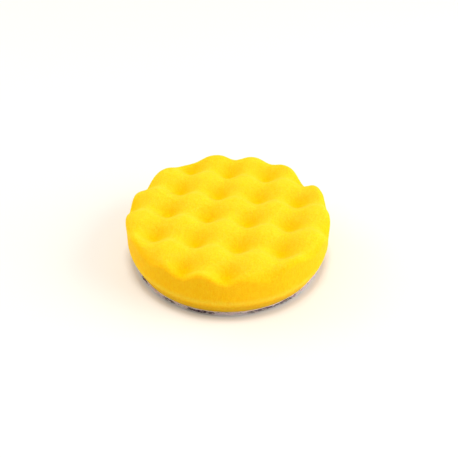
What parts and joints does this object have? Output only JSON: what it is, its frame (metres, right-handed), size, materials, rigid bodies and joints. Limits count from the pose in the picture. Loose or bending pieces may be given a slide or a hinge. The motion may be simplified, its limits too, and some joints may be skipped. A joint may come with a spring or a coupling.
{
  "type": "foam polishing pad",
  "caption": "Round open-cell foam polishing pad with a waffle working face, a bevelled lower edge and a hook-and-loop cloth backing.",
  "frame": {"origin": "centre of the underside of the loop pile, on the spin axis", "axes": "+Z along the spin axis from the loop pile to the waffle face; X and Y along the two rows of waffle pits"},
  "size_m": [0.08, 0.08, 0.0232],
  "materials": {
    "foam": "matte open-cell polyurethane foam, bright yellow",
    "film": "satin hot-melt film, pinkish white",
    "cloth": "matte warp-knitted ground cloth, dark purple",
    "pile": "brushed nylon loops, lavender grey"
  },
  "bodies": {
    "root": {"foam_body": "foam", "adhesive_film": "film", "backing_cloth": "cloth", "loop_pile": "pile"}
  },
  "joints": []
}
